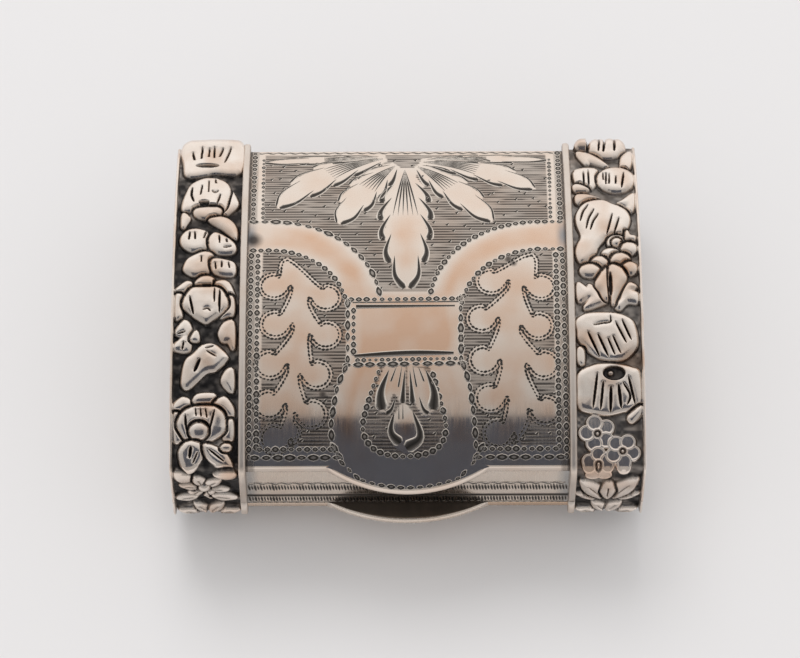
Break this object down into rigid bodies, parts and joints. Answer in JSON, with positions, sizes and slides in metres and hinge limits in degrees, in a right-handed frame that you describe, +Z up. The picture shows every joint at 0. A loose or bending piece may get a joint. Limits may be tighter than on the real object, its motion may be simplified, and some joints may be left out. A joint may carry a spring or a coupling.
{
  "type": "silver vinaigrette",
  "caption": "Small silver box with an engraved domed lid and relief end borders; the lid opens on a pierced hinged grille that holds a scented sponge.",
  "frame": {"origin": "centre of the outline on the plane the box stands on", "axes": "+X along the width to the right, -Y towards the front with the thumb-pieces, +Z up"},
  "size_m": [0.0286, 0.025, 0.0109],
  "materials": {
    "silver": "worn polished silver with dark tarnish in the recesses",
    "silver_gilt": "satin gilding",
    "sponge": "dry natural sponge"
  },
  "bodies": {
    "base": {"base_bottom": "silver", "base_band": "silver", "base_border_left": "silver", "base_border_right": "silver", "base_wire_left": "silver", "base_wire_right": "silver", "base_thumbpiece": "silver", "base_knuckles": "silver", "hinge_pin": "silver", "bezel": "silver_gilt", "grille_bearer": "silver_gilt", "grille_lugs": "silver_gilt", "grille_pin": "silver_gilt", "sponge": "sponge"},
    "lid": {"lid_cover": "silver", "lid_band": "silver", "lid_border_left": "silver", "lid_border_right": "silver", "lid_wire_left": "silver", "lid_wire_right": "silver", "lid_thumbpiece": "silver", "lid_knuckles": "silver"},
    "grille": {"grille_plate": "silver_gilt", "grille_knuckle_row": "silver_gilt", "grille_nib": "silver_gilt"}
  },
  "joints": [
    {"name": "lid_hinge", "type": "hinge", "parent": "base", "child": "lid", "pos_m": [0, 0.01192, 0.00433], "axis": [-1, 0, 0], "range_deg": [0, 110]},
    {"name": "grille_hinge", "type": "hinge", "parent": "base", "child": "grille", "pos_m": [0, 0.00983, 0.00516], "axis": [-1, 0, 0], "range_deg": [0, 92]}
  ],
  "couplings": [
    {"joint": "grille_hinge", "follows": "lid_hinge", "ratio": 0.82}
  ]
}
